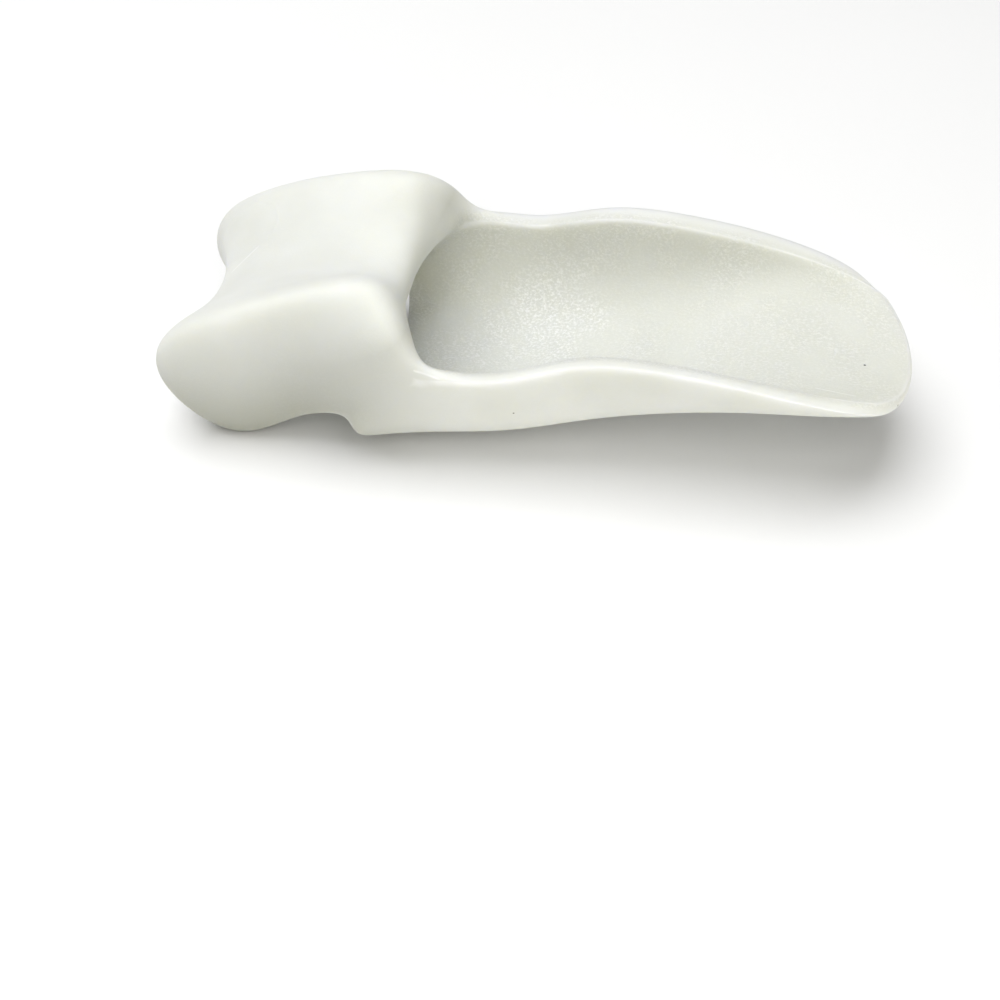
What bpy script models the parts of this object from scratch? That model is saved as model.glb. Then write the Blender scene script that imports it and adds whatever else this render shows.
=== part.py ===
"""A gel toe separator: one soft moulding made of a leaf-shaped shield and a toe spacer.

The shield is a long trough that lies along the side of the foot. Its mouth carries an hourglass
spacer whose two flanges grow out of the trough's side walls, and the web between the flanges
closes a loop that the big toe goes through. The moulding is the same on both sides of its long
middle plane, so only the half at +Y is modelled and the other half is its mirror image.

Frame: +X runs from the spacer to the tip of the shield, +Y across, +Z up. The moulding lies on
its convex back, as it does on a table: the lower edges of the flanges and the back of the shield
just behind its mouth touch the table, and the tip of the shield is off it.
"""

from collections import namedtuple
import math

import bmesh
import bpy
from mathutils import Vector

# Driving sizes in metres. They size the cage, which the smoothing draws in a little.
SHIELD_LENGTH = 0.0621
HALF_WIDTH = 0.0170
WALL = 0.0025
SPACER_REACH = 0.0245
RIDGE_HEIGHT = 0.0240
FLANGE_THICKNESS = 0.0040
FLANGE_CROWN = 0.0004
EDGE_ROUNDING = 0.0006
WEB_END_BULGE = 0.0014
FLANGE_END_BULGE = 0.0026

# Cage columns from the middle of the trough's floor up to its rim
COLUMNS = 4

# Levels of smoothing on the cage
SMOOTHING = 2

# How crisp the smoothing leaves the inner and outer edge of the rim along the trough's sides,
# of the rim round its tip, and of the lip at its mouth, from 0 to 1
RIM_CREASE = {"in": 0.55, "out": 0.5}
TIP_CREASE = {"in": 0.35, "out": 0.2}
LIP_CREASE = {"in": 0.4, "out": 0.4}

# How far a gap may be and still close when the mirror joins its halves
MERGE_DISTANCE = 0.00005

# Names, colour and finish of the gel
PIECE_NAME = "gel_moulding"
COLLECTION_NAME = "toe_separator"
GEL_COLOUR = (0.80, 0.81, 0.77, 1.0)
GEL_ROUGHNESS = 0.42
GEL_IOR = 1.45

# One station of the shield, from its mouth to its tip. along is a share of SHIELD_LENGTH and
# half_width of HALF_WIDTH. back and rim are the heights of the outside of the floor and of the
# rim, as shares of RIDGE_HEIGHT. set_back is how far the rim lies behind the floor, as a share
# of HALF_WIDTH. wall is a share of WALL. lean is how much of the wall's lean the rim keeps: below
# zero the rim's inner edge is lower than its outer one. square is how square the trough's
# section is: 2 is an ellipse. sweep is the share of the quarter turn that the section makes, so
# the sides stand upright at the rim where it is 1 and flare where it is less.
Station = namedtuple("Station", "along half_width back rim set_back wall lean square sweep")
SHIELD = (
    Station(0.000, 1.01, 0.000, 0.310, 0.10, 1.00, 0.20, 2.45, 1.00),
    Station(0.153, 1.01, -0.030, 0.660, 0.13, 0.80, -0.50, 2.40, 1.00),
    Station(0.282, 0.98, 0.035, 0.610, 0.13, 0.84, -1.00, 2.40, 1.00),
    Station(0.427, 0.93, 0.145, 0.785, 0.15, 0.95, -1.00, 2.40, 1.00),
    Station(0.572, 0.91, 0.245, 0.785, 0.18, 1.00, -1.00, 2.35, 1.00),
    Station(0.717, 0.90, 0.335, 0.740, 0.18, 1.00, -0.80, 2.30, 1.00),
    Station(0.837, 0.88, 0.370, 0.675, 0.21, 0.95, -0.30, 2.20, 0.97),
    Station(0.934, 0.82, 0.385, 0.610, 0.23, 0.85, 0.00, 2.10, 0.87),
    Station(1.000, 0.69, 0.385, 0.530, 0.27, 0.75, 0.20, 2.00, 0.72),
)

# One rib of the spacer, from its free end to the end inside the trough. flange and web are
# where the rib crosses the flange and the middle of the web, as shares of SPACER_REACH from the
# mouth. half_width is a share of HALF_WIDTH. ridge, saddle, underside and foot are heights as
# shares of RIDGE_HEIGHT: of the flange's top, of the web's top and bottom, and of the flange's
# lower edge. tuck draws that edge inwards by a share of HALF_WIDTH. Behind the mouth the flange
# has no lower edge, because the shield's wall carries it.
Rib = namedtuple("Rib", "flange web half_width ridge saddle underside foot tuck")
SPACER = (
    Rib(-1.00, -0.82, 0.88, 0.615, 0.54, 0.43, 0.19, 0.05),
    Rib(-0.68, -0.64, 0.93, 0.780, 0.66, 0.41, -0.090, 0.07),
    Rib(-0.35, -0.35, 0.87, 0.910, 0.74, 0.43, 0.15, 0.08),
    Rib(-0.04, -0.12, 0.82, 0.990, 0.77, 0.48, None, 0.0),
    Rib(0.09, 0.085, 0.80, 0.955, 0.74, 0.52, None, 0.0),
)

# The rib that stands on the mouth of the shield
MOUTH_RIB = 3

# Across each rib, from the middle of the web to the outside of the flange: the share of the
# distance out to the flange's inner face, of the way along from web to flange, and of the
# climb from the web up to the ridge and down to the foot.
Across = namedtuple("Across", "out along climb drop")
RIB_SECTION = (
    Across(0.0, 0.00, 0.00, 0.00),
    Across(0.5, 0.22, 0.22, 0.22),
    Across(1.0, 0.85, 1.00, 1.00),
    Across(1.0, 1.00, 0.93, 1.05),
)
FLANGE_INSIDE = 2
FLANGE_OUTSIDE = 3


def clear_scene():
    """Start from an empty scene."""
    for scene_object in list(bpy.data.objects):
        bpy.data.objects.remove(scene_object, do_unlink=True)


def mix(low, high, share):
    return low + (high - low) * share


def superellipse(share, square):
    """How far out and up a quarter of a superellipse has come at a share of its turn."""
    angle = share * math.pi / 2
    return math.sin(angle) ** (2 / square), 1 - max(math.cos(angle), 0.0) ** (2 / square)


def trough_point(station, column):
    """A point on the outside of the trough, on a superellipse from its floor up to its rim."""
    share = column / COLUMNS
    out, up = superellipse(share * station.sweep, station.square)
    rim_out, rim_up = superellipse(station.sweep, station.square)
    return Vector((
        station.along * SHIELD_LENGTH - station.set_back * HALF_WIDTH * share ** 2,
        station.half_width * HALF_WIDTH * out / rim_out,
        mix(station.back, station.rim, up / rim_up) * RIDGE_HEIGHT,
    ))


def trough_outside():
    """The outside of the trough: one row of points for each station."""
    return [[trough_point(station, column) for column in range(COLUMNS + 1)] for station in SHIELD]


def inward(rows, row, column):
    """The direction from the outside of the trough's wall to its inside."""
    last_row = len(rows) - 1
    along = rows[min(row + 1, last_row)][column] - rows[max(row - 1, 0)][column]
    if column == 0:
        below = rows[row][1] * Vector((1, -1, 1))
    else:
        below = rows[row][column - 1]
    above = rows[row][min(column + 1, COLUMNS)]
    direction = along.cross(above - below).normalized()
    if column == COLUMNS:
        direction.z *= SHIELD[row].lean
        direction.normalize()
    return direction


def trough_inside(rows):
    """The inside of the trough: the outside moved in by the wall's thickness."""
    inside = []
    for row, station in enumerate(SHIELD):
        points = []
        for column in range(COLUMNS + 1):
            point = rows[row][column] + inward(rows, row, column) * (WALL * station.wall)
            point.y = max(point.y, 0.0)
            points.append(point)
        inside.append(points)
    return inside


def rib_heights(rib, section, rim_height):
    """Heights of a rib's top and bottom at one place across it."""
    top = mix(rib.saddle, rib.ridge, section.climb)
    if rib.foot is None:
        bottom = mix(rib.underside, rim_height / RIDGE_HEIGHT, section.drop)
    else:
        bottom = mix(rib.underside, rib.foot, section.drop)
    return top * RIDGE_HEIGHT, bottom * RIDGE_HEIGHT


def spacer_points(outside, inside):
    """The spacer's cage: ribs along, places across each rib, and bottom, middle and top rows."""
    points = {}
    for index, rib in enumerate(SPACER):
        flange_outside = rib.half_width * HALF_WIDTH
        flange_inside = flange_outside - FLANGE_THICKNESS
        wall_row = max(index - MOUTH_RIB, 0)
        rim_height = inside[wall_row][COLUMNS].z
        for place, section in enumerate(RIB_SECTION):
            along = mix(rib.web, rib.flange, section.along) * SPACER_REACH
            top, bottom = rib_heights(rib, section, rim_height)
            if place == FLANGE_OUTSIDE:
                top_side = flange_outside - EDGE_ROUNDING
                bottom_side = flange_outside - EDGE_ROUNDING / 2
            else:
                top_side = flange_inside * section.out
                bottom_side = top_side
            bottom_side -= rib.tuck * HALF_WIDTH * min(section.drop, 1.0)
            top_point = Vector((along, top_side, top))
            bottom_point = Vector((along, bottom_side, bottom))
            if rib.foot is None and place >= FLANGE_INSIDE:
                wall = inside if place == FLANGE_INSIDE else outside
                bottom_point = wall[wall_row][COLUMNS].copy()
            middle = (top_point + bottom_point) / 2
            if index == 0:
                middle.x -= WEB_END_BULGE if place < FLANGE_INSIDE else FLANGE_END_BULGE
            if index == len(SPACER) - 1:
                middle.x += WEB_END_BULGE / 2
            if place == FLANGE_OUTSIDE:
                middle.y = max(top_point.y, bottom_point.y, flange_outside) + FLANGE_CROWN
            points[index, place, "bottom"] = bottom_point
            points[index, place, "middle"] = middle
            points[index, place, "top"] = top_point
    return points


class HalfCage:
    """The half of the cage at +Y, open at the middle plane."""

    def __init__(self):
        self.mesh = bmesh.new()
        self.crease = self.mesh.edges.layers.float.new("crease_edge")
        self.vertices = {}

    def place(self, key, point):
        self.vertices[key] = self.mesh.verts.new(point)

    def face(self, *keys):
        self.mesh.faces.new([self.vertices[key] for key in keys])

    def sharpen(self, keys, crease):
        """Keep the chain of edges through these points crisp when the cage is smoothed."""
        for first, second in zip(keys, keys[1:]):
            edge = self.mesh.edges.get((self.vertices[first], self.vertices[second]))
            edge[self.crease] = crease

    def add_trough(self, outside, inside):
        for row in range(len(SHIELD)):
            for column in range(COLUMNS + 1):
                self.place(("out", row, column), outside[row][column])
                self.place(("in", row, column), inside[row][column])
        for row in range(len(SHIELD) - 1):
            for column in range(COLUMNS):
                self.face(
                    ("out", row, column),
                    ("out", row, column + 1),
                    ("out", row + 1, column + 1),
                    ("out", row + 1, column),
                )
                self.face(
                    ("in", row, column),
                    ("in", row + 1, column),
                    ("in", row + 1, column + 1),
                    ("in", row, column + 1),
                )
        # The rim starts behind the flange, which stands on the first stretch of wall
        for row in range(1, len(SHIELD) - 1):
            self.face(
                ("out", row, COLUMNS),
                ("in", row, COLUMNS),
                ("in", row + 1, COLUMNS),
                ("out", row + 1, COLUMNS),
            )
        # The lip at the mouth and the edge round the tip
        tip = len(SHIELD) - 1
        for column in range(COLUMNS):
            self.face(
                ("out", 0, column),
                ("in", 0, column),
                ("in", 0, column + 1),
                ("out", 0, column + 1),
            )
            self.face(
                ("out", tip, column),
                ("out", tip, column + 1),
                ("in", tip, column + 1),
                ("in", tip, column),
            )

    def spacer_key(self, index, place, level):
        """A rib's key, or the key of the wall's rim where the flange stands on the wall."""
        if level == "bottom" and index >= MOUTH_RIB and place >= FLANGE_INSIDE:
            side = "in" if place == FLANGE_INSIDE else "out"
            return (side, index - MOUTH_RIB, COLUMNS)
        return (index, place, level)

    def add_spacer(self, points):
        key = self.spacer_key
        for (index, place, level), point in points.items():
            if key(index, place, level) == (index, place, level):
                self.place((index, place, level), point)
        last = len(SPACER) - 1
        for index in range(last):
            for place in range(FLANGE_OUTSIDE):
                self.face(
                    key(index, place, "top"),
                    key(index + 1, place, "top"),
                    key(index + 1, place + 1, "top"),
                    key(index, place + 1, "top"),
                )
                on_wall = index == MOUTH_RIB and place == FLANGE_INSIDE
                if not on_wall:
                    self.face(
                        key(index, place, "bottom"),
                        key(index, place + 1, "bottom"),
                        key(index + 1, place + 1, "bottom"),
                        key(index + 1, place, "bottom"),
                    )
        for low, high in (("bottom", "middle"), ("middle", "top")):
            for index in range(last):
                self.face(
                    key(index, FLANGE_OUTSIDE, low),
                    key(index, FLANGE_OUTSIDE, high),
                    key(index + 1, FLANGE_OUTSIDE, high),
                    key(index + 1, FLANGE_OUTSIDE, low),
                )
            for place in range(FLANGE_OUTSIDE):
                self.face(
                    key(0, place, low),
                    key(0, place, high),
                    key(0, place + 1, high),
                    key(0, place + 1, low),
                )
                self.face(
                    key(last, place, low),
                    key(last, place + 1, low),
                    key(last, place + 1, high),
                    key(last, place, high),
                )

    def sharpen_edges(self):
        """The edges of the rim along the sides and round the tip, and of the lip at the mouth."""
        tip = len(SHIELD) - 1
        for side in ("in", "out"):
            self.sharpen([(side, row, COLUMNS) for row in range(1, tip + 1)], RIM_CREASE[side])
            self.sharpen([(side, tip, column) for column in range(COLUMNS + 1)], TIP_CREASE[side])
            self.sharpen([(side, 0, column) for column in range(COLUMNS + 1)], LIP_CREASE[side])

    def finish(self, name):
        mesh = bpy.data.meshes.new(name)
        self.mesh.to_mesh(mesh)
        self.mesh.free()
        return mesh


def gel_material():
    """Milky translucent gel with a satin skin."""
    material = bpy.data.materials.new("milky_gel")
    material.use_nodes = True
    shader = material.node_tree.nodes["Principled BSDF"]
    shader.inputs["Base Color"].default_value = GEL_COLOUR
    shader.inputs["Roughness"].default_value = GEL_ROUGHNESS
    shader.inputs["Metallic"].default_value = 0.0
    shader.inputs["IOR"].default_value = GEL_IOR
    material.diffuse_color = GEL_COLOUR
    return material


def rest_on_table(moulding):
    """Put the middle of the smoothed moulding's underside at the origin."""
    evaluated = moulding.evaluated_get(bpy.context.evaluated_depsgraph_get())
    points = [vertex.co.copy() for vertex in evaluated.to_mesh().vertices]
    evaluated.to_mesh_clear()
    low = Vector([min(point[axis] for point in points) for axis in range(3)])
    high = Vector([max(point[axis] for point in points) for axis in range(3)])
    moulding.location = (-(low.x + high.x) / 2, -(low.y + high.y) / 2, -low.z)


def build_moulding(collection):
    outside = trough_outside()
    inside = trough_inside(outside)
    cage = HalfCage()
    cage.add_trough(outside, inside)
    cage.add_spacer(spacer_points(outside, inside))
    cage.sharpen_edges()
    moulding = bpy.data.objects.new(PIECE_NAME, cage.finish(PIECE_NAME))
    collection.objects.link(moulding)
    mirror = moulding.modifiers.new("other_half", "MIRROR")
    mirror.use_axis = (False, True, False)
    mirror.use_clip = True
    mirror.use_mirror_merge = True
    mirror.merge_threshold = MERGE_DISTANCE
    smooth = moulding.modifiers.new("soft_form", "SUBSURF")
    smooth.levels = SMOOTHING
    smooth.render_levels = SMOOTHING
    moulding.data.materials.append(gel_material())
    moulding.data.shade_smooth()
    bpy.context.view_layer.update()
    rest_on_table(moulding)
    return moulding


clear_scene()
toe_separator = bpy.data.collections.new(COLLECTION_NAME)
bpy.context.scene.collection.children.link(toe_separator)
build_moulding(toe_separator)
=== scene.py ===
# %% [markdown]
# # A gel toe separator
#
# This lesson dresses one small moulding of milky gel: a leaf-shaped shield that lies along the
# side of the foot, with an hourglass spacer at its mouth that sits between two toes. The whole
# thing is a single soft piece, so nearly all of the work is in two places: a form that swells
# and pinches in the right places, and a gel that lets light in a few millimetres deep.
#
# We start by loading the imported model. It gives us the box the moulding must fill and the
# hidden solid that stands for it in the physics.

import math
from collections import namedtuple

import bmesh
import bpy
import numpy as np
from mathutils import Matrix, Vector


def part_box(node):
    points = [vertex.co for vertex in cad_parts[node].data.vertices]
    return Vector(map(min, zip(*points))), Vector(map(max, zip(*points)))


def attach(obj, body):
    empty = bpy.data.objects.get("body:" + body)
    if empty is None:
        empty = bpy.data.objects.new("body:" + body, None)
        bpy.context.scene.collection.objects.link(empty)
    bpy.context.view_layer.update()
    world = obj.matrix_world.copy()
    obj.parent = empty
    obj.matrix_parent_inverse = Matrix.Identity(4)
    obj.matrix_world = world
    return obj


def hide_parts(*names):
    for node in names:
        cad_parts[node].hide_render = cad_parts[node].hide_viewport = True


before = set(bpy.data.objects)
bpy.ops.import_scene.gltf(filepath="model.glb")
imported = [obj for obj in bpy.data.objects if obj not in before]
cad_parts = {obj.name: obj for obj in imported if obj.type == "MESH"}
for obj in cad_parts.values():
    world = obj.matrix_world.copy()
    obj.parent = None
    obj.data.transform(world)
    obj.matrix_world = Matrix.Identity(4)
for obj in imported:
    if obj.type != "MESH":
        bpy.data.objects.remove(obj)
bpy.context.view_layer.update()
cad_low, cad_high = (Vector(corner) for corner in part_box("gel_moulding"))
print("the moulding's box in mm:", [round(size * 1000, 1) for size in cad_high - cad_low])

# %% [markdown]
# ## The camera
#
# The photograph looks down on the moulding at about 44 degrees, from a little to the right of
# square on, with a short telephoto lens. The moulding lies above the middle of the picture, so
# the camera aims at the table in front of it.

# %% Place the camera
CAMERA_AZIMUTH = math.radians(10.2)
CAMERA_ELEVATION = math.radians(43.6)
CAMERA_DISTANCE = 0.2086
CAMERA_AIM = Vector((-0.0015, -0.0190, 0.0))
CAMERA_LENS = 64.6


def place_camera():
    """A camera at a distance from its aim, turned and lifted by two angles."""
    towards = Vector((
        math.sin(CAMERA_AZIMUTH) * math.cos(CAMERA_ELEVATION),
        -math.cos(CAMERA_AZIMUTH) * math.cos(CAMERA_ELEVATION),
        math.sin(CAMERA_ELEVATION),
    ))
    camera = bpy.data.objects.new("camera", bpy.data.cameras.new("camera"))
    bpy.context.scene.collection.objects.link(camera)
    camera.data.lens = CAMERA_LENS
    camera.data.sensor_width = 36.0
    camera.data.clip_start = 0.005
    camera.location = CAMERA_AIM + towards * CAMERA_DISTANCE
    camera.rotation_euler = towards.to_track_quat("Z", "Y").to_euler()
    bpy.context.scene.camera = camera
    return camera


camera = place_camera()
print("camera height in mm:", round(camera.location.z * 1000, 1))

# %% [markdown]
# ## The form
#
# A soft moulding like this could be sculpted, or built from metaballs, or cut from a block with
# booleans. None of those keeps the wall of the shield at an even thickness. A coarse cage of
# four-sided faces under a Subdivision Surface does: we place a few stations along the shield and
# a few ribs along the spacer, and the smoothing makes everything between them flow.
#
# The driving sizes come first, then two tables whose numbers are shares of those sizes.

# %% Driving sizes in metres
SHIELD_LENGTH = 0.0621
HALF_WIDTH = 0.0170
WALL = 0.0025
SPACER_REACH = 0.0245
RIDGE_HEIGHT = 0.0240
FLANGE_THICKNESS = 0.0040
FLANGE_CROWN = 0.0004
EDGE_ROUNDING = 0.0006
WEB_END_BULGE = 0.0014
FLANGE_END_BULGE = 0.0026
RIM_CREASE = {"in": 0.55, "out": 0.5}
TIP_CREASE = {"in": 0.35, "out": 0.2}
LIP_CREASE = {"in": 0.4, "out": 0.4}
COLUMNS = 4
MERGE_DISTANCE = 0.00005

# Painted shade in the gel's colour: on the flange darker towards the bottom, on the wall at the
# first two stations by the mouth
FLANGE_PAINTED_SHADE = {"bottom": 1.0, "middle": 0.5, "top": 0.0}
WALL_PAINTED_SHADE = {0: 0.7, 1: 0.3}
print("shield and spacer in mm:", SHIELD_LENGTH * 1000, SPACER_REACH * 1000)

# %% Stations of the shield, from its mouth to its tip
Station = namedtuple("Station", "along half_width back rim set_back wall lean square sweep")
SHIELD = (
    Station(0.000, 1.01, 0.000, 0.310, 0.10, 1.00, 0.20, 2.45, 1.00),
    Station(0.153, 1.01, -0.030, 0.660, 0.13, 0.80, -0.50, 2.40, 1.00),
    Station(0.282, 0.98, 0.035, 0.610, 0.13, 0.84, -1.00, 2.40, 1.00),
    Station(0.427, 0.93, 0.145, 0.785, 0.15, 0.95, -1.00, 2.40, 1.00),
    Station(0.572, 0.91, 0.245, 0.785, 0.18, 1.00, -1.00, 2.35, 1.00),
    Station(0.717, 0.90, 0.335, 0.740, 0.18, 1.00, -0.80, 2.30, 1.00),
    Station(0.837, 0.88, 0.370, 0.675, 0.21, 0.95, -0.30, 2.20, 0.97),
    Station(0.934, 0.82, 0.385, 0.610, 0.23, 0.85, 0.00, 2.10, 0.87),
    Station(1.000, 0.69, 0.385, 0.530, 0.27, 0.75, 0.20, 2.00, 0.72),
)
print("stations of the shield:", len(SHIELD))

# %% Ribs of the spacer, from its free end to the end inside the trough
Rib = namedtuple("Rib", "flange web half_width ridge saddle underside foot tuck")
SPACER = (
    Rib(-1.00, -0.82, 0.88, 0.615, 0.54, 0.43, 0.19, 0.05),
    Rib(-0.68, -0.64, 0.93, 0.780, 0.66, 0.41, -0.090, 0.07),
    Rib(-0.35, -0.35, 0.87, 0.910, 0.74, 0.43, 0.15, 0.08),
    Rib(-0.04, -0.12, 0.82, 0.990, 0.77, 0.48, None, 0.0),
    Rib(0.09, 0.085, 0.80, 0.955, 0.74, 0.52, None, 0.0),
)
MOUTH_RIB = 3
Across = namedtuple("Across", "out along climb drop")
RIB_SECTION = (
    Across(0.0, 0.00, 0.00, 0.00),
    Across(0.5, 0.22, 0.22, 0.22),
    Across(1.0, 0.85, 1.00, 1.00),
    Across(1.0, 1.00, 0.93, 1.05),
)
FLANGE_INSIDE = 2
FLANGE_OUTSIDE = 3
print("ribs of the spacer:", len(SPACER))

# %% [markdown]
# ### The trough's two skins
#
# Each station is a superellipse, an ellipse whose shoulders can be made squarer, from the middle
# of the floor up to the rim. The inner skin is the outer one moved in along its own direction by
# the wall's thickness, so the wall stays even where the shield turns up at its sides.

# %% Points of the trough
def mix(low, high, share):
    return low + (high - low) * share


def superellipse(share, square):
    """How far out and up a quarter of a superellipse has come at a share of its turn."""
    angle = share * math.pi / 2
    return math.sin(angle) ** (2 / square), 1 - max(math.cos(angle), 0.0) ** (2 / square)


def trough_point(station, column):
    share = column / COLUMNS
    out, up = superellipse(share * station.sweep, station.square)
    whole_out, whole_up = superellipse(station.sweep, station.square)
    out /= whole_out
    up /= whole_up
    return Vector((
        station.along * SHIELD_LENGTH - station.set_back * HALF_WIDTH * share ** 2,
        station.half_width * HALF_WIDTH * out,
        mix(station.back, station.rim, up) * RIDGE_HEIGHT,
    ))


def trough_outside():
    return [[trough_point(station, column) for column in range(COLUMNS + 1)] for station in SHIELD]


def inward(rows, row, column):
    last_row = len(rows) - 1
    along = rows[min(row + 1, last_row)][column] - rows[max(row - 1, 0)][column]
    below = rows[row][column - 1] if column else rows[row][1] * Vector((1, -1, 1))
    above = rows[row][min(column + 1, COLUMNS)]
    direction = along.cross(above - below).normalized()
    if column == COLUMNS:
        direction.z *= SHIELD[row].lean
        direction.normalize()
    return direction


def trough_inside(rows):
    inside = []
    for row, station in enumerate(SHIELD):
        points = []
        for column in range(COLUMNS + 1):
            point = rows[row][column] + inward(rows, row, column) * (WALL * station.wall)
            point.y = max(point.y, 0.0)
            points.append(point)
        inside.append(points)
    return inside


outside = trough_outside()
inside = trough_inside(outside)
print("points on each skin of the half trough:", len(outside) * len(outside[0]))

# %% [markdown]
# ### The spacer's ribs
#
# Every rib runs from the middle of the web out to the flange. The web sinks between the flanges
# on both faces, which gives the hourglass. The last two ribs stand on the trough's own wall, so
# their lower corners are the wall's rim, and the gap that stays open under the web is the loop.

# %% Points of the spacer
def rib_heights(rib, section, rim_height):
    top = mix(rib.saddle, rib.ridge, section.climb)
    bottom_at_flange = rim_height / RIDGE_HEIGHT if rib.foot is None else rib.foot
    bottom = mix(rib.underside, bottom_at_flange, section.drop)
    return top * RIDGE_HEIGHT, bottom * RIDGE_HEIGHT


def rib_corner_points(rib, place, section, rim_height):
    """The top and bottom points of a rib at one place across it."""
    along = mix(rib.web, rib.flange, section.along) * SPACER_REACH
    top, bottom = rib_heights(rib, section, rim_height)
    flange_outside = rib.half_width * HALF_WIDTH
    if place == FLANGE_OUTSIDE:
        top_side = flange_outside - EDGE_ROUNDING
        bottom_side = flange_outside - EDGE_ROUNDING / 2
    else:
        top_side = (flange_outside - FLANGE_THICKNESS) * section.out
        bottom_side = top_side
    bottom_side -= rib.tuck * HALF_WIDTH * min(section.drop, 1.0)
    return Vector((along, top_side, top)), Vector((along, bottom_side, bottom))


def spacer_points():
    points = {}
    for index, rib in enumerate(SPACER):
        wall_row = max(index - MOUTH_RIB, 0)
        rim_height = inside[wall_row][COLUMNS].z
        for place, section in enumerate(RIB_SECTION):
            top, bottom = rib_corner_points(rib, place, section, rim_height)
            if rib.foot is None and place >= FLANGE_INSIDE:
                wall = inside if place == FLANGE_INSIDE else outside
                bottom = wall[wall_row][COLUMNS].copy()
            middle = (top + bottom) / 2
            if index == 0:
                middle.x -= WEB_END_BULGE if place < FLANGE_INSIDE else FLANGE_END_BULGE
            if index == len(SPACER) - 1:
                middle.x += WEB_END_BULGE / 2
            if place == FLANGE_OUTSIDE:
                middle.y = max(top.y, bottom.y, rib.half_width * HALF_WIDTH) + FLANGE_CROWN
            points[index, place, "bottom"] = bottom
            points[index, place, "middle"] = middle
            points[index, place, "top"] = top
    return points


ribs = spacer_points()
print("points of the half spacer:", len(ribs))

# %% [markdown]
# ### From points to a cage
#
# The faces follow the two grids. The only place that needs care is where the flange stands on
# the wall: there the spacer's lower corners and the rim's corners are the same points.
#
# Each point also carries three values that the gel's finish reads later: whether it lies in the
# hollow, whether it lies on a rim, and how much painted shade darkens the gel's colour there.

# %% Make the half cage
class HalfCage:
    """The half of the cage at +Y, open at the middle plane."""

    def __init__(self):
        self.mesh = bmesh.new()
        self.hollow = self.mesh.verts.layers.float.new("hollow")
        self.rim = self.mesh.verts.layers.float.new("rim")
        # painted shade: how much darker the gel's colour is painted at each point
        self.painted_shade = self.mesh.verts.layers.float.new("painted_shade")
        self.crease = self.mesh.edges.layers.float.new("crease_edge")
        self.vertices = {}

    def place(self, key, point, hollow=0.0, painted_shade=0.0):
        self.vertices[key] = self.mesh.verts.new(point)
        self.vertices[key][self.hollow] = hollow
        self.vertices[key][self.painted_shade] = painted_shade

    def face(self, *keys):
        self.mesh.faces.new([self.vertices[key] for key in keys])

    def sharpen(self, keys, crease, rim=0.0):
        for key in keys:
            self.vertices[key][self.rim] = rim
        for first, second in zip(keys, keys[1:]):
            edge = self.mesh.edges.get((self.vertices[first], self.vertices[second]))
            edge[self.crease] = crease

    def grid_face(self, side, row, column):
        corners = [(row, column), (row, column + 1), (row + 1, column + 1), (row + 1, column)]
        if side == "in":
            corners.reverse()
        self.face(*((side, *corner) for corner in corners))

    def add_trough(self):
        for row in range(len(SHIELD)):
            for column in range(COLUMNS + 1):
                # painted shade on the outer wall at the first stations by the mouth
                painted_shade = WALL_PAINTED_SHADE.get(row, 0.0) if column else 0.0
                self.place(("out", row, column), outside[row][column], painted_shade=painted_shade)
                self.place(("in", row, column), inside[row][column], hollow=1.0)
        for row in range(len(SHIELD) - 1):
            for column in range(COLUMNS):
                self.grid_face("out", row, column)
                self.grid_face("in", row, column)
        for row in range(1, len(SHIELD) - 1):
            self.face(
                ("out", row, COLUMNS), ("in", row, COLUMNS),
                ("in", row + 1, COLUMNS), ("out", row + 1, COLUMNS),
            )
        tip = len(SHIELD) - 1
        for column in range(COLUMNS):
            self.face(
                ("out", 0, column), ("in", 0, column),
                ("in", 0, column + 1), ("out", 0, column + 1),
            )
            self.face(
                ("out", tip, column), ("out", tip, column + 1),
                ("in", tip, column + 1), ("in", tip, column),
            )

    def sharpen_rims(self):
        tip = len(SHIELD) - 1
        for side, rim in (("in", 1.0), ("out", -1.0)):
            sides = [(side, row, COLUMNS) for row in range(1, tip + 1)]
            end = [(side, tip, column) for column in range(COLUMNS + 1)]
            self.sharpen(sides, RIM_CREASE[side], rim)
            self.sharpen(end, TIP_CREASE[side], rim)
            self.sharpen([(side, 0, column) for column in range(COLUMNS + 1)], LIP_CREASE[side])

    def rib_key(self, index, place, level):
        if level == "bottom" and index >= MOUTH_RIB and place >= FLANGE_INSIDE:
            side = "in" if place == FLANGE_INSIDE else "out"
            return (side, index - MOUTH_RIB, COLUMNS)
        return (index, place, level)

    def rib_face(self, *corners):
        self.face(*(self.rib_key(*corner) for corner in corners))

    def add_spacer(self):
        for (index, place, level), point in ribs.items():
            if self.rib_key(index, place, level) == (index, place, level):
                # painted shade on the flanges, darker towards the bottom
                painted_shade = FLANGE_PAINTED_SHADE[level] if place >= FLANGE_INSIDE else 0.0
                self.place((index, place, level), point, painted_shade=painted_shade)
        last = len(SPACER) - 1
        for index in range(last):
            for place in range(FLANGE_OUTSIDE):
                self.rib_face(
                    (index, place, "top"), (index + 1, place, "top"),
                    (index + 1, place + 1, "top"), (index, place + 1, "top"),
                )
                if not (index == MOUTH_RIB and place == FLANGE_INSIDE):
                    self.rib_face(
                        (index, place, "bottom"), (index, place + 1, "bottom"),
                        (index + 1, place + 1, "bottom"), (index + 1, place, "bottom"),
                    )
        for low, high in (("bottom", "middle"), ("middle", "top")):
            for index in range(last):
                self.rib_face(
                    (index, FLANGE_OUTSIDE, low), (index, FLANGE_OUTSIDE, high),
                    (index + 1, FLANGE_OUTSIDE, high), (index + 1, FLANGE_OUTSIDE, low),
                )
            for place in range(FLANGE_OUTSIDE):
                self.rib_face(
                    (0, place, low), (0, place, high), (0, place + 1, high), (0, place + 1, low),
                )
                self.rib_face(
                    (last, place, low), (last, place + 1, low),
                    (last, place + 1, high), (last, place, high),
                )

    def to_mesh(self, name):
        mesh = bpy.data.meshes.new(name)
        self.mesh.to_mesh(mesh)
        self.mesh.free()
        return mesh


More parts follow.
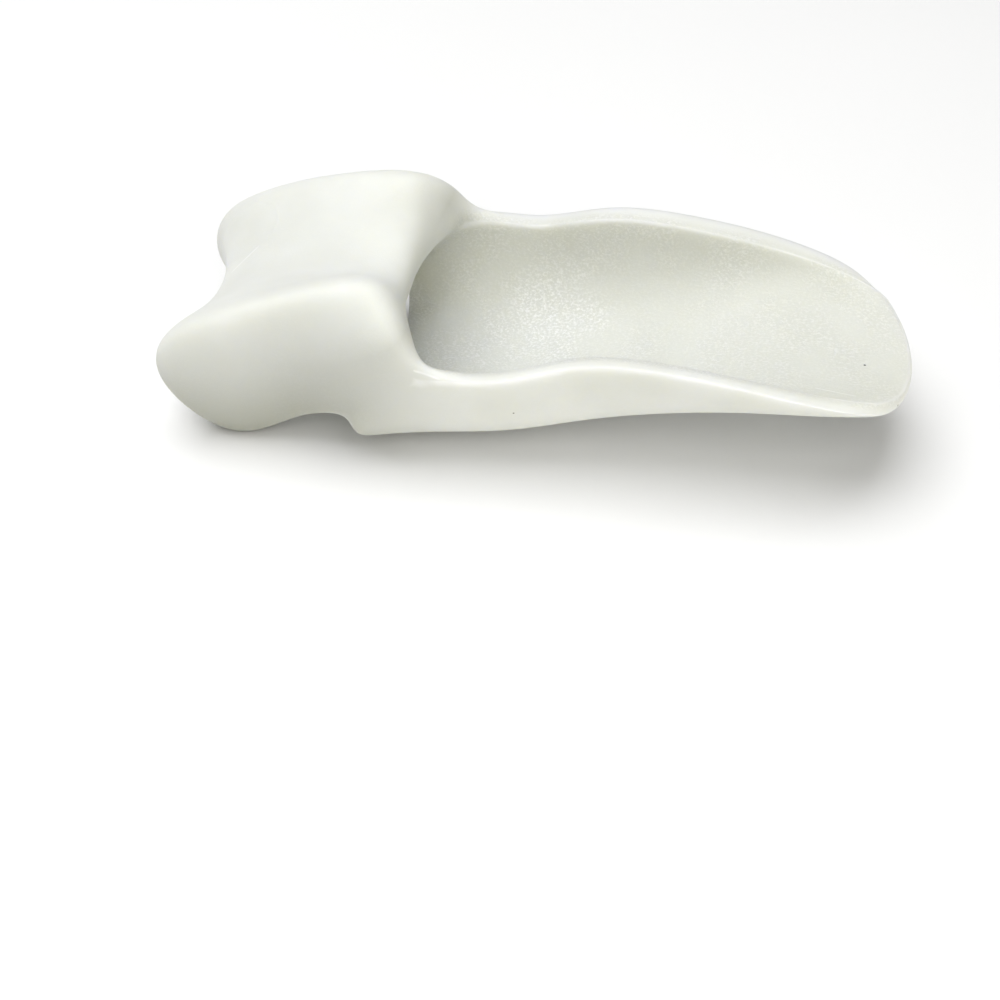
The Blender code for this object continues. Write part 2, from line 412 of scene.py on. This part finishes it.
cage = HalfCage()
cage.add_trough()
cage.add_spacer()
cage.sharpen_rims()
half_mesh = cage.to_mesh("gel_toe_separator")
print("faces of the half cage:", len(half_mesh.polygons))

# %% [markdown]
# ### Mirror, smooth and set down
#
# The mirror makes the other half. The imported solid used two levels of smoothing; here we use
# four, so that a highlight runs over the gel without a single flat facet.

# %% Smooth the cage
SMOOTHING = 4

moulding = bpy.data.objects.new("gel_toe_separator", half_mesh)
bpy.context.scene.collection.objects.link(moulding)
mirror = moulding.modifiers.new("other_half", "MIRROR")
mirror.use_axis = (False, True, False)
mirror.use_clip = True
mirror.use_mirror_merge = True
mirror.merge_threshold = MERGE_DISTANCE
smooth = moulding.modifiers.new("soft_form", "SUBSURF")
smooth.levels = SMOOTHING
smooth.render_levels = SMOOTHING
bpy.context.view_layer.update()

evaluated = moulding.evaluated_get(bpy.context.evaluated_depsgraph_get())
fine_mesh = bpy.data.meshes.new_from_object(evaluated)
moulding.modifiers.clear()
moulding.data = fine_mesh
print("faces after smoothing:", len(fine_mesh.polygons))

# %% Set it down: centred along its length, its lowest point on the table
count = len(fine_mesh.vertices)
points = np.empty(count * 3, dtype=np.float32)
fine_mesh.vertices.foreach_get("co", points)
points = points.reshape(count, 3)
low, high = points.min(axis=0), points.max(axis=0)
points -= np.array([(low[0] + high[0]) / 2, 0.0, low[2]], dtype=np.float32)
fine_mesh.vertices.foreach_set("co", points.ravel())
fine_mesh.update()
fine_mesh.shade_smooth()
print("size in mm:", [round(float(side) * 1000, 2) for side in high - low])

# %% [markdown]
# ## The gel
#
# The gel is milky: light goes in, bounces about a few millimetres deep and comes out somewhere
# else, so edges look soft and the thick spacer looks like wax. The Principled shader's
# subsurface scattering does exactly that. On top of it sit small effects that a real moulding
# has: a faint cloudiness, a powdery bloom in the hollow, pinprick specks and hairline marks.
#
# Each effect is a node group with named sockets, so it can be read and tuned by itself.

# %% A helper for node trees
def link_nodes(tree, source, target):
    tree.links.new(source, target)


def add_node(tree, kind, location, **settings):
    node = tree.nodes.new(kind)
    node.location = location
    for setting, value in settings.items():
        setattr(node, setting, value)
    return node


def math_node(tree, operation, location, first, second=None, clamp=False):
    node = add_node(tree, "ShaderNodeMath", location, operation=operation, use_clamp=clamp)
    for socket, value in zip(node.inputs, (first, second)):
        if value is None:
            continue
        if isinstance(value, (int, float)):
            socket.default_value = value
        else:
            link_nodes(tree, value, socket)
    return node.outputs[0]


def range_node(tree, location, value, from_low, from_high, to_low=0.0, to_high=1.0, smooth=True):
    node = add_node(tree, "ShaderNodeMapRange", location)
    node.interpolation_type = "SMOOTHSTEP" if smooth else "LINEAR"
    link_nodes(tree, value, node.inputs["Value"])
    node.inputs["From Min"].default_value = from_low
    node.inputs["From Max"].default_value = from_high
    node.inputs["To Min"].default_value = to_low
    node.inputs["To Max"].default_value = to_high
    return node.outputs["Result"]


def new_group(name, inputs, outputs):
    """An empty shader node group with named sockets."""
    group = bpy.data.node_groups.new(name, "ShaderNodeTree")
    for socket_name, socket_type, value in inputs:
        socket = group.interface.new_socket(socket_name, in_out="INPUT", socket_type=socket_type)
        if value is not None:
            socket.default_value = value
    for socket_name, socket_type in outputs:
        group.interface.new_socket(socket_name, in_out="OUTPUT", socket_type=socket_type)
    entry = add_node(group, "NodeGroupInput", (-900, 0))
    leave = add_node(group, "NodeGroupOutput", (900, 0))
    return group, entry.outputs, leave.inputs


FLOAT = "NodeSocketFloat"
COLOUR = "NodeSocketColor"
VECTOR = "NodeSocketVector"
print("node helpers ready")

# %% Cloudiness: slow changes of tone inside the gel
def cloudiness_group():
    group, given, result = new_group(
        "gel cloudiness",
        [("Position", VECTOR, None), ("Scale", FLOAT, 90.0)],
        [("Cloud", FLOAT)],
    )
    wide = add_node(group, "ShaderNodeTexNoise", (-600, 100))
    wide.inputs["Detail"].default_value = 3.0
    wide.inputs["Roughness"].default_value = 0.55
    link_nodes(group, given["Position"], wide.inputs["Vector"])
    link_nodes(group, given["Scale"], wide.inputs["Scale"])
    link_nodes(group, range_node(group, (-300, 100), wide.outputs["Fac"], 0.3, 0.7), result["Cloud"])
    return group


cloudiness = cloudiness_group()
print("made", cloudiness.name)

# %% Powder: the fine pale bloom that clings to the hollow
def powder_group():
    group, given, result = new_group(
        "powder bloom",
        [("Position", VECTOR, None), ("Grain", FLOAT, 3600.0), ("Patches", FLOAT, 160.0)],
        [("Powder", FLOAT)],
    )
    stretched = add_node(group, "ShaderNodeVectorMath", (-750, 150), operation="MULTIPLY")
    link_nodes(group, given["Position"], stretched.inputs[0])
    stretched.inputs[1].default_value = (0.75, 1.0, 1.0)
    grain = add_node(group, "ShaderNodeTexNoise", (-600, 150))
    grain.inputs["Detail"].default_value = 4.0
    grain.inputs["Roughness"].default_value = 0.7
    link_nodes(group, stretched.outputs[0], grain.inputs["Vector"])
    link_nodes(group, given["Grain"], grain.inputs["Scale"])
    patches = add_node(group, "ShaderNodeTexNoise", (-600, -150))
    patches.inputs["Detail"].default_value = 3.0
    link_nodes(group, given["Position"], patches.inputs["Vector"])
    link_nodes(group, given["Patches"], patches.inputs["Scale"])
    fine = range_node(group, (-300, 150), grain.outputs["Fac"], 0.44, 0.67)
    broad = range_node(group, (-300, -150), patches.outputs["Fac"], 0.36, 0.62, 0.25, 1.0)
    link_nodes(group, math_node(group, "MULTIPLY", (0, 0), fine, broad), result["Powder"])
    return group


powder = powder_group()
print("made", powder.name)

# %% [markdown]
# ### Small marks
#
# The real moulding carries a faint ring in the web, most likely from an ejector pin, a hairline
# beside it, two more hairlines on the near rim, a few dark pinpricks, and more powder in one
# place on the floor of the hollow than elsewhere. Noise would scatter such marks at random. A
# distance puts each one where it is: to a point, to a line, or to a circle.

# %% Marks: masks from a distance in space
def spot_group():
    group, given, result = new_group(
        "spot mark",
        [("Position", VECTOR, None), ("Centre", VECTOR, None), ("Radius", FLOAT, 0.0001)],
        [("Mask", FLOAT)],
    )
    gap = add_node(group, "ShaderNodeVectorMath", (-600, 0), operation="DISTANCE")
    link_nodes(group, given["Position"], gap.inputs[0])
    link_nodes(group, given["Centre"], gap.inputs[1])
    share = math_node(group, "DIVIDE", (-300, 0), gap.outputs["Value"], given["Radius"])
    link_nodes(group, range_node(group, (0, 0), share, 0.6, 1.2, 1.0, 0.0), result["Mask"])
    return group


def ring_group():
    group, given, result = new_group(
        "ring mark",
        [("Position", VECTOR, None), ("Centre", VECTOR, None), ("Radius", FLOAT, 0.004),
         ("Width", FLOAT, 0.0003)],
        [("Mask", FLOAT)],
    )
    flat = add_node(group, "ShaderNodeVectorMath", (-700, 0), operation="MULTIPLY")
    link_nodes(group, given["Position"], flat.inputs[0])
    flat.inputs[1].default_value = (1.0, 1.0, 0.0)
    gap = add_node(group, "ShaderNodeVectorMath", (-500, 0), operation="DISTANCE")
    link_nodes(group, flat.outputs[0], gap.inputs[0])
    link_nodes(group, given["Centre"], gap.inputs[1])
    off = math_node(group, "SUBTRACT", (-300, 0), gap.outputs["Value"], given["Radius"])
    off = math_node(group, "ABSOLUTE", (-100, 0), off)
    share = math_node(group, "DIVIDE", (100, 0), off, given["Width"])
    link_nodes(group, range_node(group, (300, 0), share, 0.0, 1.0, 1.0, 0.0), result["Mask"])
    return group


def line_group():
    group, given, result = new_group(
        "line mark",
        [("Position", VECTOR, None), ("Start", VECTOR, None), ("End", VECTOR, None),
         ("Width", FLOAT, 0.0002)],
        [("Mask", FLOAT)],
    )

    def vector_node(operation, location, first, second):
        node = add_node(group, "ShaderNodeVectorMath", location, operation=operation)
        link_nodes(group, first, node.inputs[0])
        link_nodes(group, second, node.inputs[1])
        return node

    whole = vector_node("SUBTRACT", (-800, 100), given["End"], given["Start"]).outputs[0]
    part = vector_node("SUBTRACT", (-800, -100), given["Position"], given["Start"]).outputs[0]
    reach = vector_node("DOT_PRODUCT", (-600, 0), part, whole).outputs["Value"]
    length = vector_node("DOT_PRODUCT", (-600, 200), whole, whole).outputs["Value"]
    share = math_node(group, "DIVIDE", (-400, 0), reach, length, clamp=True)
    foot = add_node(group, "ShaderNodeVectorMath", (-200, 100), operation="SCALE")
    link_nodes(group, whole, foot.inputs[0])
    link_nodes(group, share, foot.inputs["Scale"])
    gap = vector_node("DISTANCE", (0, 0), part, foot.outputs[0]).outputs["Value"]
    off = math_node(group, "DIVIDE", (200, 0), gap, given["Width"])
    link_nodes(group, range_node(group, (400, 0), off, 0.0, 1.0, 1.0, 0.0), result["Mask"])
    return group


spot_mark, ring_mark, line_mark = spot_group(), ring_group(), line_group()
SPECKS = (
    ((0.0383, -0.0011, 0.0115), 0.00016),
    ((-0.0006, -0.0153, 0.0103), 0.00012),
    ((0.0423, -0.0074, 0.0113), 0.00014),
)
DRIFT_CENTRE = (0.0006, 0.0042, 0.0043)
DRIFT_RADIUS = 0.011
RING_CENTRE = (-0.0382, 0.0070, 0.0)
RING_RADIUS = 0.00425
RING_WIDTH = 0.0004
HAIRLINES = (
    ((-0.0383, 0.0011, 0.0133), (-0.0356, 0.0039, 0.0154), 0.00018),
    ((0.0329, -0.0071, 0.0123), (0.0373, -0.0086, 0.0130), 0.00016),
    ((-0.0117, -0.0165, 0.0159), (-0.0088, -0.0166, 0.0151), 0.00022),
)
print("made", spot_mark.name, ring_mark.name, line_mark.name)

# %% [markdown]
# ### The gel's own material
#
# A flat pale plastic would look like china. The gel looks soft because light scatters below its
# skin, so we use the random walk, which follows the light through the real thickness of the
# form. The colours go in as plain tones of the same milky grey, and masks choose between them.

# %% Start the gel's material
gel = bpy.data.materials.new("milky_gel")
gel.use_nodes = True
tree = gel.node_tree
tree.nodes.clear()
output = add_node(tree, "ShaderNodeOutputMaterial", (1100, 0))
shader = add_node(tree, "ShaderNodeBsdfPrincipled", (800, 0))
link_nodes(tree, shader.outputs["BSDF"], output.inputs["Surface"])
shader.subsurface_method = "RANDOM_WALK"
shader.inputs["Subsurface Weight"].default_value = 1.0
shader.inputs["Subsurface Radius"].default_value = (1.0, 0.95, 0.75)
shader.inputs["Subsurface Scale"].default_value = 0.004
shader.inputs["IOR"].default_value = 1.42
shader.inputs["Specular IOR Level"].default_value = 0.38
position = add_node(tree, "ShaderNodeTexCoord", (-1300, 0)).outputs["Object"]
print("random walk with a reach of", shader.inputs["Subsurface Scale"].default_value * 1000, "mm")

# %% Helpers for this material
def layer_value(name, location):
    """A value that the cage carries at its points, spread over the smooth form."""
    return add_node(tree, "ShaderNodeAttribute", location, attribute_name=name).outputs["Fac"]


def use_group(group, location, **sockets):
    """One use of a node group at the gel's own position, with some sockets set."""
    node = add_node(tree, "ShaderNodeGroup", location)
    node.node_tree = group
    link_nodes(tree, position, node.inputs["Position"])
    for socket, value in sockets.items():
        node.inputs[socket].default_value = value
    return node.outputs[0]


def most_of(masks, location):
    """The strongest of several masks."""
    strongest = masks[0]
    for mask in masks[1:]:
        strongest = math_node(tree, "MAXIMUM", location, strongest, mask)
    return strongest


def blend(first, second, factor, location):
    """A colour that goes from the first to the second, each a plain colour or a socket."""
    node = add_node(tree, "ShaderNodeMix", location, data_type="RGBA")
    link_nodes(tree, factor, node.inputs["Factor"])
    for name, value in (("A", first), ("B", second)):
        if isinstance(value, tuple):
            node.inputs[name].default_value = value
        else:
            link_nodes(tree, value, node.inputs[name])
    return node.outputs["Result"]


print("material helpers ready")

# %% [markdown]
# ### Tone
#
# Three things change the tone of one and the same gel. Slow clouds run through it. The other two
# are painted shade. The hollow, where the thin wall lets light out at the back, is painted dimmer.
# Painted shade also darkens the foot of the flanges and the root of the wall and turns them a
# little olive, darker towards the bottom of the flange. The last two could be left to the
# scattering alone, but the pale table throws so much light back from below that it would wash
# them out, so the cage carries a value for each.

# %% Tone of the gel, with painted shade
PALE_GEL = (0.75, 0.76, 0.73, 1.0)
MILKY_GEL = (0.705, 0.715, 0.675, 1.0)
# painted shade: the dimmer tone the hollow is painted with
HOLLOW_SHADE_GEL = (0.56, 0.57, 0.525, 1.0)
# painted shade: the colour of the foot of the flanges and the root of the wall, darker and a little
# olive
PAINTED_SHADE_GEL = (0.44, 0.445, 0.385, 1.0)

cloud = use_group(cloudiness, (-1000, 400))
in_hollow = range_node(tree, (-1000, 200), layer_value("hollow", (-1300, 200)), 0.35, 0.9, 0.12, 1.0)
# painted shade: how far the foot of the flanges and the root of the wall are darkened
painted_shade_mask = range_node(tree, (-1000, 600), layer_value("painted_shade", (-1300, 600)), 0.1, 1.0)
tone = blend(MILKY_GEL, PALE_GEL, cloud, (-700, 400))
# painted shade: the hollow is painted half way to the dimmer tone
hollow_shade = math_node(tree, "MULTIPLY", (-700, 200), in_hollow, 0.5)
tone = blend(tone, HOLLOW_SHADE_GEL, hollow_shade, (-500, 400))
# painted shade darkens the foot of the flanges and the root of the wall
tone = blend(tone, PAINTED_SHADE_GEL, painted_shade_mask, (-300, 400))
print("tones of the gel: pale, milky, thin and deep")

# %% [markdown]
# ### Powder, pale rim lines and marks
#
# A pale powder clings to the hollow, thickest on its floor near the mouth. The two edges of the
# rim carry a thin pale line. Both could have a material of their own, but powder and lines are
# the same pale colour on the same gel, so one mask that chooses that colour carries them.

# %% Masks of the powder and the marks
powder_mask = math_node(
    tree, "MULTIPLY", (-700, -100), use_group(powder, (-1000, -100)), in_hollow
)
in_corner = use_group(spot_mark, (-1000, -250), Centre=DRIFT_CENTRE, Radius=DRIFT_RADIUS)
thickness = range_node(tree, (-700, -250), in_corner, 0.0, 1.0, 0.42, 0.74)
dust = math_node(tree, "MULTIPLY", (-500, -100), powder_mask, thickness)

specks = most_of(
    [use_group(spot_mark, (-1000, -400), Centre=centre, Radius=radius) for centre, radius in SPECKS],
    (-700, -400),
)
hairlines = most_of(
    [use_group(line_mark, (-1000, -550), Start=start, End=end, Width=width)
     for start, end, width in HAIRLINES],
    (-700, -550),
)
ring = use_group(ring_mark, (-1000, -700), Centre=RING_CENTRE, Radius=RING_RADIUS, Width=RING_WIDTH)

rim = math_node(tree, "ABSOLUTE", (-1100, -850), layer_value("rim", (-1300, -850)))
# a thin pale line along both edges of the rim, its strength following the cloudiness
rim_edges = range_node(tree, (-900, -850), rim, 0.84, 0.98)
rim_line_fade = range_node(tree, (-900, -1000), cloud, 0.2, 0.8, 0.45, 1.0)
rim_lines = math_node(tree, "MULTIPLY", (-700, -850), rim_edges, rim_line_fade)
pale_lines = most_of([rim_lines, hairlines], (-600, -700))
pale_lines = math_node(tree, "MULTIPLY", (-500, -700), pale_lines, 0.5)
print("specks, hairlines:", len(SPECKS), len(HAIRLINES))

# %% Colour, roughness and relief
PALE_POWDER_AND_LINES = (0.91, 0.915, 0.905, 1.0)
DARK_SPECK = (0.10, 0.095, 0.08, 1.0)

colour = blend(tone, PALE_POWDER_AND_LINES, most_of([dust, pale_lines], (-100, 100)), (100, 300))
colour = blend(colour, DARK_SPECK, specks, (300, 300))
link_nodes(tree, colour, shader.inputs["Base Color"])

roughness = range_node(tree, (300, -50), powder_mask, 0.0, 1.0, 0.50, 0.68)
link_nodes(tree, roughness, shader.inputs["Roughness"])

raised_ring = math_node(tree, "MULTIPLY", (0, -300), ring, 0.35)
raised_lines = math_node(tree, "MULTIPLY", (0, -450), hairlines, 0.5)
raised = most_of([raised_ring, raised_lines], (150, -350))
bump = add_node(tree, "ShaderNodeBump", (500, -300))
bump.inputs["Strength"].default_value = 0.5
bump.inputs["Distance"].default_value = 0.00016
link_nodes(tree, math_node(tree, "ADD", (300, -300), powder_mask, raised), bump.inputs["Height"])
link_nodes(tree, bump.outputs["Normal"], shader.inputs["Normal"])
print("nodes in the gel's material:", len(tree.nodes))

# %% Hand the moulding to the frame
moulding.data.materials.append(gel)
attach(moulding, "root")
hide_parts("gel_moulding")
print("gel material on", moulding.name)

# %% [markdown]
# ## Table and light
#
# The moulding lies on a plain pale table. The main light is a large soft one above it and to
# the left, slightly cool. A smaller warm one in front lifts the near sides, and a weak one low on
# the right lifts the end of the wall. A single overhead light would leave the near sides too
# dark, and a bright world would take the shade out of the hollow. The table needs a finish too:
# a fine tooth in its roughness and relief keeps it from looking like paper cut out.

# %% Make the table
PLAIN_TABLE = (0.86, 0.86, 0.86, 1.0)
BRIGHT_TABLE = (0.88, 0.88, 0.88, 1.0)
TABLE_SIZE = 4.0


def table_material():
    material = bpy.data.materials.new("pale_table")
    material.use_nodes = True
    tree = material.node_tree
    shader = tree.nodes["Principled BSDF"]
    place = add_node(tree, "ShaderNodeTexCoord", (-900, 0)).outputs["Object"]
    cloud = add_node(tree, "ShaderNodeGroup", (-600, 0))
    cloud.node_tree = cloudiness
    cloud.inputs["Scale"].default_value = 6.0
    link_nodes(tree, place, cloud.inputs["Position"])
    tone = add_node(tree, "ShaderNodeMix", (-300, 0), data_type="RGBA")
    tone.inputs["A"].default_value = PLAIN_TABLE
    tone.inputs["B"].default_value = BRIGHT_TABLE
    link_nodes(tree, cloud.outputs["Cloud"], tone.inputs["Factor"])
    link_nodes(tree, tone.outputs["Result"], shader.inputs["Base Color"])
    tooth = add_node(tree, "ShaderNodeTexNoise", (-600, -300))
    tooth.inputs["Scale"].default_value = 900.0
    tooth.inputs["Detail"].default_value = 3.0
    link_nodes(tree, place, tooth.inputs["Vector"])
    roughness = range_node(tree, (-300, -150), tooth.outputs["Fac"], 0.3, 0.7, 0.70, 0.82)
    link_nodes(tree, roughness, shader.inputs["Roughness"])
    bump = add_node(tree, "ShaderNodeBump", (-300, -450))
    bump.inputs["Strength"].default_value = 0.3
    bump.inputs["Distance"].default_value = 0.00004
    link_nodes(tree, tooth.outputs["Fac"], bump.inputs["Height"])
    link_nodes(tree, bump.outputs["Normal"], shader.inputs["Normal"])
    return material


table_mesh = bpy.data.meshes.new("table")
table_shape = bmesh.new()
bmesh.ops.create_grid(table_shape, x_segments=1, y_segments=1, size=TABLE_SIZE / 2)
table_shape.to_mesh(table_mesh)
table_shape.free()
table = bpy.data.objects.new("table", table_mesh)
bpy.context.scene.collection.objects.link(table)
table.data.materials.append(table_material())
print("table size in metres:", TABLE_SIZE)

# %% Light it
def soft_light(name, size, power, colour, location, target):
    light = bpy.data.objects.new(name, bpy.data.lights.new(name, "AREA"))
    light.data.shape = "RECTANGLE"
    light.data.size, light.data.size_y = size
    light.data.energy = power
    light.data.color = colour
    light.location = location
    away = Vector(location) - Vector(target)
    light.rotation_euler = away.to_track_quat("Z", "Y").to_euler()
    bpy.context.scene.collection.objects.link(light)
    return light


MIDDLE = (0.0, 0.0, 0.0)
soft_light("overhead", (0.6, 0.6), 4.15, (0.99, 0.995, 1.0), (-0.14, 0.03, 0.55), MIDDLE)
soft_light("front_top", (0.4, 0.3), 1.1, (1.0, 0.99, 0.96), (0.10, -0.38, 0.40), MIDDLE)
soft_light("side_fill", (0.3, 0.2), 0.5, (1.0, 0.98, 0.90), (0.38, -0.25, 0.10), MIDDLE)

bpy.context.scene.view_settings.view_transform = "Standard"
world = bpy.data.worlds.new("studio")
bpy.context.scene.world = world
world.use_nodes = True
world.node_tree.nodes["Background"].inputs["Color"].default_value = (1.0, 0.98, 0.88, 1.0)
world.node_tree.nodes["Background"].inputs["Strength"].default_value = 0.04
